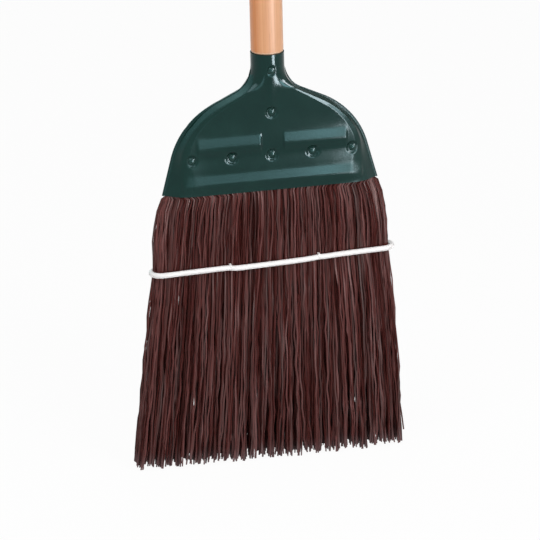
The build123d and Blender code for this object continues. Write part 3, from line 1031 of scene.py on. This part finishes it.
def mouthRoom(across):
    # free half depth in the case's mouth, read off its own section
    run = np.linspace(0, 2, fillShape["mouthSamples"])
    x, y = caseSection(run, np.zeros_like(run), False)
    room = np.interp(abs(across), x, -y) - caseShape["sheet"] - fillShape["mouthClear"]
    return max(room, fillShape["mouthLeast"])


def strandStations(rootX, spread, layer, tipX, tipZ):
    # height, place across and depth at each station, from the tip up
    shape = fillShape
    narrow = math.sqrt(max(1 - abs(spread) ** shape["edgePower"], shape["edgeLeast"]))
    mouthX = squeezed(spread)
    mouthDepth = mouthRoom(mouthX)
    rootDepth = min(shape["rootHalfDepth"] * narrow, mouthDepth)
    stations = [
        (mouthZ + shape["rootHeight"], rootX, layer * rootDepth),
        (mouthZ, mouthX, layer * mouthDepth),
    ]
    for part in ("lip", "flare", "shoulder", "waist", "skirt"):
        size = shape[part]
        depth = size["depth"] * narrow if "depth" in size else mouthDepth
        stations.append((mouthZ - size["drop"], spread * size["half"], layer * depth))
    tip = shape["tip"]
    tipDepth = tip["depth"] * (1 - tip["round"] + tip["round"] * narrow)
    stations.append((tipZ, tipX, layer * tipDepth))
    return np.array(stations[::-1])


def crimps(dice, heights, size):
    return np.array([dice.gauss(0, 1) for _ in heights]) * size


def strandPath(dice, rootX, spread, layer):
    shape = fillShape
    tipX = spread * shape["tip"]["half"] + dice.uniform(-1, 1) * shape["wander"]
    clump = round(tipX / shape["clump"])
    tipX += (clump * shape["clump"] - tipX) * shape["clumpPull"]
    tipZ = max(0.0, dice.gauss(*shape["raggedSpread"])) * shape["ragged"]
    tipZ += shape["tilt"] * (1 - spread) / 2
    tipZ += random.Random(shape["seed"] + clump).random() * shape["clumpRise"]
    z, x, y = strandStations(rootX, spread, layer, tipX, tipZ).T
    inCase = [mouthZ + shape["rootHeight"], mouthZ, mouthZ - shape["lip"]["drop"]]
    below = np.linspace(mouthZ - shape["flare"]["drop"], tipZ, shape["joints"])
    heights = np.concatenate([inCase, below])
    # still in the mouth and calmer at the wire
    free = np.clip((mouthZ - heights) / shape["freeRun"], 0, 1)
    fromWire = np.abs(heights - waistZ)
    calm = free * np.clip(fromWire / shape["calmRun"], shape["calmLeast"], 1)
    held = free * np.clip(fromWire / shape["holdRun"], 0, 1)
    upper = np.clip((mouthZ - heights) / (mouthZ - waistZ), 0, 1)
    lower = np.clip((waistZ - heights) / (waistZ - tipZ), 0, 1)
    swayX = crimps(dice, heights, shape["crimpAcross"]) * calm
    swayX = swayX + dice.gauss(0, shape["bowAbove"]) * np.sin(math.pi * upper)
    swayX = swayX + dice.gauss(0, shape["bowBelow"]) * np.sin(math.pi * lower)
    swayY = crimps(dice, heights, shape["crimpDeep"]) * held
    lean = shape["lean"] * np.clip((mouthZ - heights) / mouthZ, 0, 1) ** 2
    return np.interp(heights, z, x) + swayX + lean, np.interp(heights, z, y) + swayY, heights


def strandPoints(dice, pattern, edges, count, place, column, row):
    shape = fillShape
    left, right = edges
    clear = shape["rootClear"]
    stagger = (row * shape["stagger"]) % 1.0 + dice.uniform(-shape["jitter"], shape["jitter"])
    rootX = left + (right - left) * min(max((place + stagger) / count, clear), 1 - clear)
    spread = min(max(((column + stagger) / sum(shape["bayColumns"])) * 2 - 1, -1), 1)
    layer = row / (shape["rows"] - 1) * 2 - 1
    pathX, pathY, heights = strandPath(dice, rootX, spread, layer)
    twist = dice.uniform(0, 2 * math.pi) + dice.gauss(0, shape["spin"]) * pattern["along"]
    ringX = pattern["points"][:, 0] * shape["width"] * dice.uniform(*shape["widthRange"])
    ringY = pattern["points"][:, 1] * shape["thickness"] * dice.uniform(*shape["thicknessRange"])
    joint = pattern["joint"]
    x = pathX[joint] + ringX * np.cos(twist) - ringY * np.sin(twist)
    y = pathY[joint] + ringX * np.sin(twist) + ringY * np.cos(twist)
    return np.stack([x, y, heights[joint]], axis=1)


def joinBay(bay, strands, tones, pattern):
    name = f"strandBay{bay}"
    size = len(pattern["points"])
    faces = []
    for strand in range(len(strands)):
        faces += [tuple(corner + strand * size for corner in face) for face in pattern["faces"]]
    mesh = bpy.data.meshes.new(name)
    mesh.from_pydata(np.concatenate(strands).tolist(), [], faces)
    marks = {"tone": np.repeat(tones, size), "along": np.tile(pattern["along"], len(strands))}
    for mark, values in marks.items():
        mesh.attributes.new(mark, "FLOAT", "POINT").data.foreach_set("value", values)
    piece = bpy.data.objects.new(name, mesh)
    bpy.context.scene.collection.objects.link(piece)
    activate(piece)
    faceOutwards()
    bpy.ops.object.shade_smooth_by_angle(angle=fillShape["smoothAngle"])
    dress(piece, finishes["strand"], f"fill_bay_{bay}")


def makeStrands():
    dice = random.Random(fillShape["seed"])
    pattern = strandPattern()
    column = 0
    for bay, (edges, count) in enumerate(zip(bayEdges(), fillShape["bayColumns"]), start=1):
        strands = []
        tones = []
        for place in range(count):
            for row in range(fillShape["rows"]):
                strands.append(strandPoints(dice, pattern, edges, count, place, column, row))
                tones.append(dice.random())
            column += 1
        joinBay(bay, strands, tones, pattern)


makeStrands()
print("strands done")


# Floor, light and camera
studio = {
    "floorSize": 12.0,
    "floorColour": (0.86, 0.86, 0.86),
    "floorRoughness": 0.8,
    "floorGlow": 0.95,
    "worldLight": 0.42,
    "cardSize": 5.0,
    "cardBack": 2.2,
    "cardLift": 0.2,
    "cardRoughness": 0.9,
}


def makeFloor():
    startFresh()
    bpy.ops.mesh.primitive_plane_add(size=studio["floorSize"], location=(0, 0, 0))
    floor = settle("floor")
    finish = Finish("paleFloor")
    finish.set(Base_Color=rgb(*studio["floorColour"]), Roughness=studio["floorRoughness"])
    share = finish.backdropRays() * studio["floorGlow"]
    glow = finish.add("ShaderNodeEmission", {}, {"Color": rgb(1, 1, 1), "Strength": 1.0})
    sockets = {0: share, 1: Val(finish, finish.shader.outputs[0]), 2: glow}
    mixed = finish.add("ShaderNodeMixShader", {}, sockets)
    finish.feed(finish.tree.nodes["Material Output"].inputs["Surface"], mixed)
    floor.data.materials.append(finish.material)


# two cards behind the broom that show only in reflections
cards = {
    "coolCard": {"side": -1, "colour": (0.55, 1.0, 1.0), "glow": 0.5},
    "darkCard": {"side": 1, "colour": (0.22, 0.26, 0.26), "glow": 0.0},
}


def makeCard(name, side, colour, glow):
    tint = rgb(*colour)
    finish = Finish(name)
    finish.set(Base_Color=tint, Roughness=studio["cardRoughness"])
    finish.set(Emission_Color=tint, Emission_Strength=glow)
    size = studio["cardSize"]
    spot = (side * size / 2, studio["cardBack"], studio["cardLift"] + size / 2)
    startFresh()
    bpy.ops.mesh.primitive_plane_add(size=size, location=spot, rotation=(math.pi / 2, 0, 0))
    card = settle(name)
    card.data.materials.append(finish.material)
    card.visible_camera = False
    card.visible_diffuse = False
    card.visible_shadow = False


def makeWorld():
    world = bpy.data.worlds.new("studioWorld")
    bpy.context.scene.world = world
    world.use_nodes = True
    sky = NodeTree(world.node_tree)
    back = sky.tree.nodes["Background"]
    dim = studio["worldLight"]
    sky.feed(back.inputs["Color"], rgb(1, 1, 1))
    sky.feed(back.inputs["Strength"], sky.backdropRays() * (1 - dim) + dim)


def towards(turn, rise):
    # unit vector by degrees, turned to the right of the front and raised from level
    turn = math.radians(turn)
    rise = math.radians(rise)
    return Vector((math.sin(turn) * math.cos(rise), -math.cos(turn) * math.cos(rise), math.sin(rise)))


# each lamp by its turn and rise as the case sees it, its distance, its size and its radiance
softboxes = {
    "keySoftbox": {"turn": 22.0, "rise": 30.0, "far": 1.7, "size": (0.72, 0.72), "glow": 7.4},
    "topFill": {"turn": -42.0, "rise": 57.0, "far": 1.7, "size": (0.95, 0.80), "glow": 4.4},
}
# these show only as highlights
shines = {
    "edgeShine": {"turn": 38.5, "rise": 12.5, "far": 1.6, "size": (0.38, 0.60), "glow": 34.0},
    "edgeFade": {"turn": 49.5, "rise": 9.5, "far": 1.6, "size": (0.26, 0.36), "glow": 10.0},
    "riseShine": {"turn": 70.0, "rise": 29.0, "far": 1.6, "size": (0.36, 0.70), "glow": 42.0},
    "leftShine": {"turn": -34.0, "rise": 38.0, "far": 1.6, "size": (0.20, 0.20), "glow": 5.0},
    "neckShine": {"turn": 28.5, "rise": -13.2, "far": 0.83, "size": (0.24, 0.10), "glow": 46.0},
    "rightShine": {"turn": 23.0, "rise": -1.5, "far": 1.7, "size": (0.55, 0.30), "glow": 11.0},
    "lowShine": {"turn": -7.5, "rise": -1.5, "far": 1.7, "size": (1.25, 0.30), "glow": 2.5},
}
plainTint = (1.0, 1.0, 1.0)
lampTints = {
    "edgeShine": (1.0, 0.82, 0.80),
    "riseShine": (1.0, 0.82, 0.80),
    "neckShine": (1.0, 0.82, 0.80),
    "rightShine": (0.78, 1.0, 1.0),
    "lowShine": (0.72, 1.0, 1.0),
}
lampTarget = Vector((0.0, 0.0, 0.33))


def makeLamp(name, lamp, lighting):
    light = bpy.data.lights.new(name, "AREA")
    light.shape = "RECTANGLE"
    light.color = lampTints.get(name, plainTint)
    light.size, light.size_y = lamp["size"]
    light.energy = lamp["glow"] * math.pi * light.size * light.size_y
    item = bpy.data.objects.new(name, light)
    item.location = lampTarget + towards(lamp["turn"], lamp["rise"]) * lamp["far"]
    item.rotation_euler = (lampTarget - item.location).to_track_quat("-Z", "Y").to_euler()
    item.visible_camera = False
    item.visible_diffuse = lighting
    bpy.context.scene.collection.objects.link(item)


photoCamera = {
    "turn": -13.0,
    "rise": 18.5,
    "roll": 1.4,
    "distance": 4.0,
    "lens": 302.2,
    "sensor": 36.0,
    "aim": (-0.0020, 0.0006, 0.1720),
}


def makeCamera():
    back = towards(photoCamera["turn"], photoCamera["rise"])
    turn = math.radians(photoCamera["turn"])
    roll = math.radians(photoCamera["roll"])
    right = Vector((math.cos(turn), math.sin(turn), 0))
    up = back.cross(right)
    tiltedRight = right * math.cos(roll) - up * math.sin(roll)
    tiltedUp = right * math.sin(roll) + up * math.cos(roll)
    spot = Vector(photoCamera["aim"]) + back * photoCamera["distance"]
    lens = bpy.data.cameras.new("photoCamera")
    lens.lens = photoCamera["lens"]
    lens.sensor_width = photoCamera["sensor"]
    camera = bpy.data.objects.new("photoCamera", lens)
    axes = Matrix((tiltedRight, tiltedUp, back)).transposed().to_4x4()
    camera.matrix_world = Matrix.Translation(spot) @ axes
    bpy.context.scene.collection.objects.link(camera)
    bpy.context.scene.camera = camera


makeFloor()
for name, card in cards.items():
    makeCard(name, **card)
makeWorld()
for name, lamp in softboxes.items():
    makeLamp(name, lamp, True)
for name, lamp in shines.items():
    makeLamp(name, lamp, False)
makeCamera()
bpy.context.scene.view_settings.view_transform = "Standard"
print("stage, lamps and camera done")
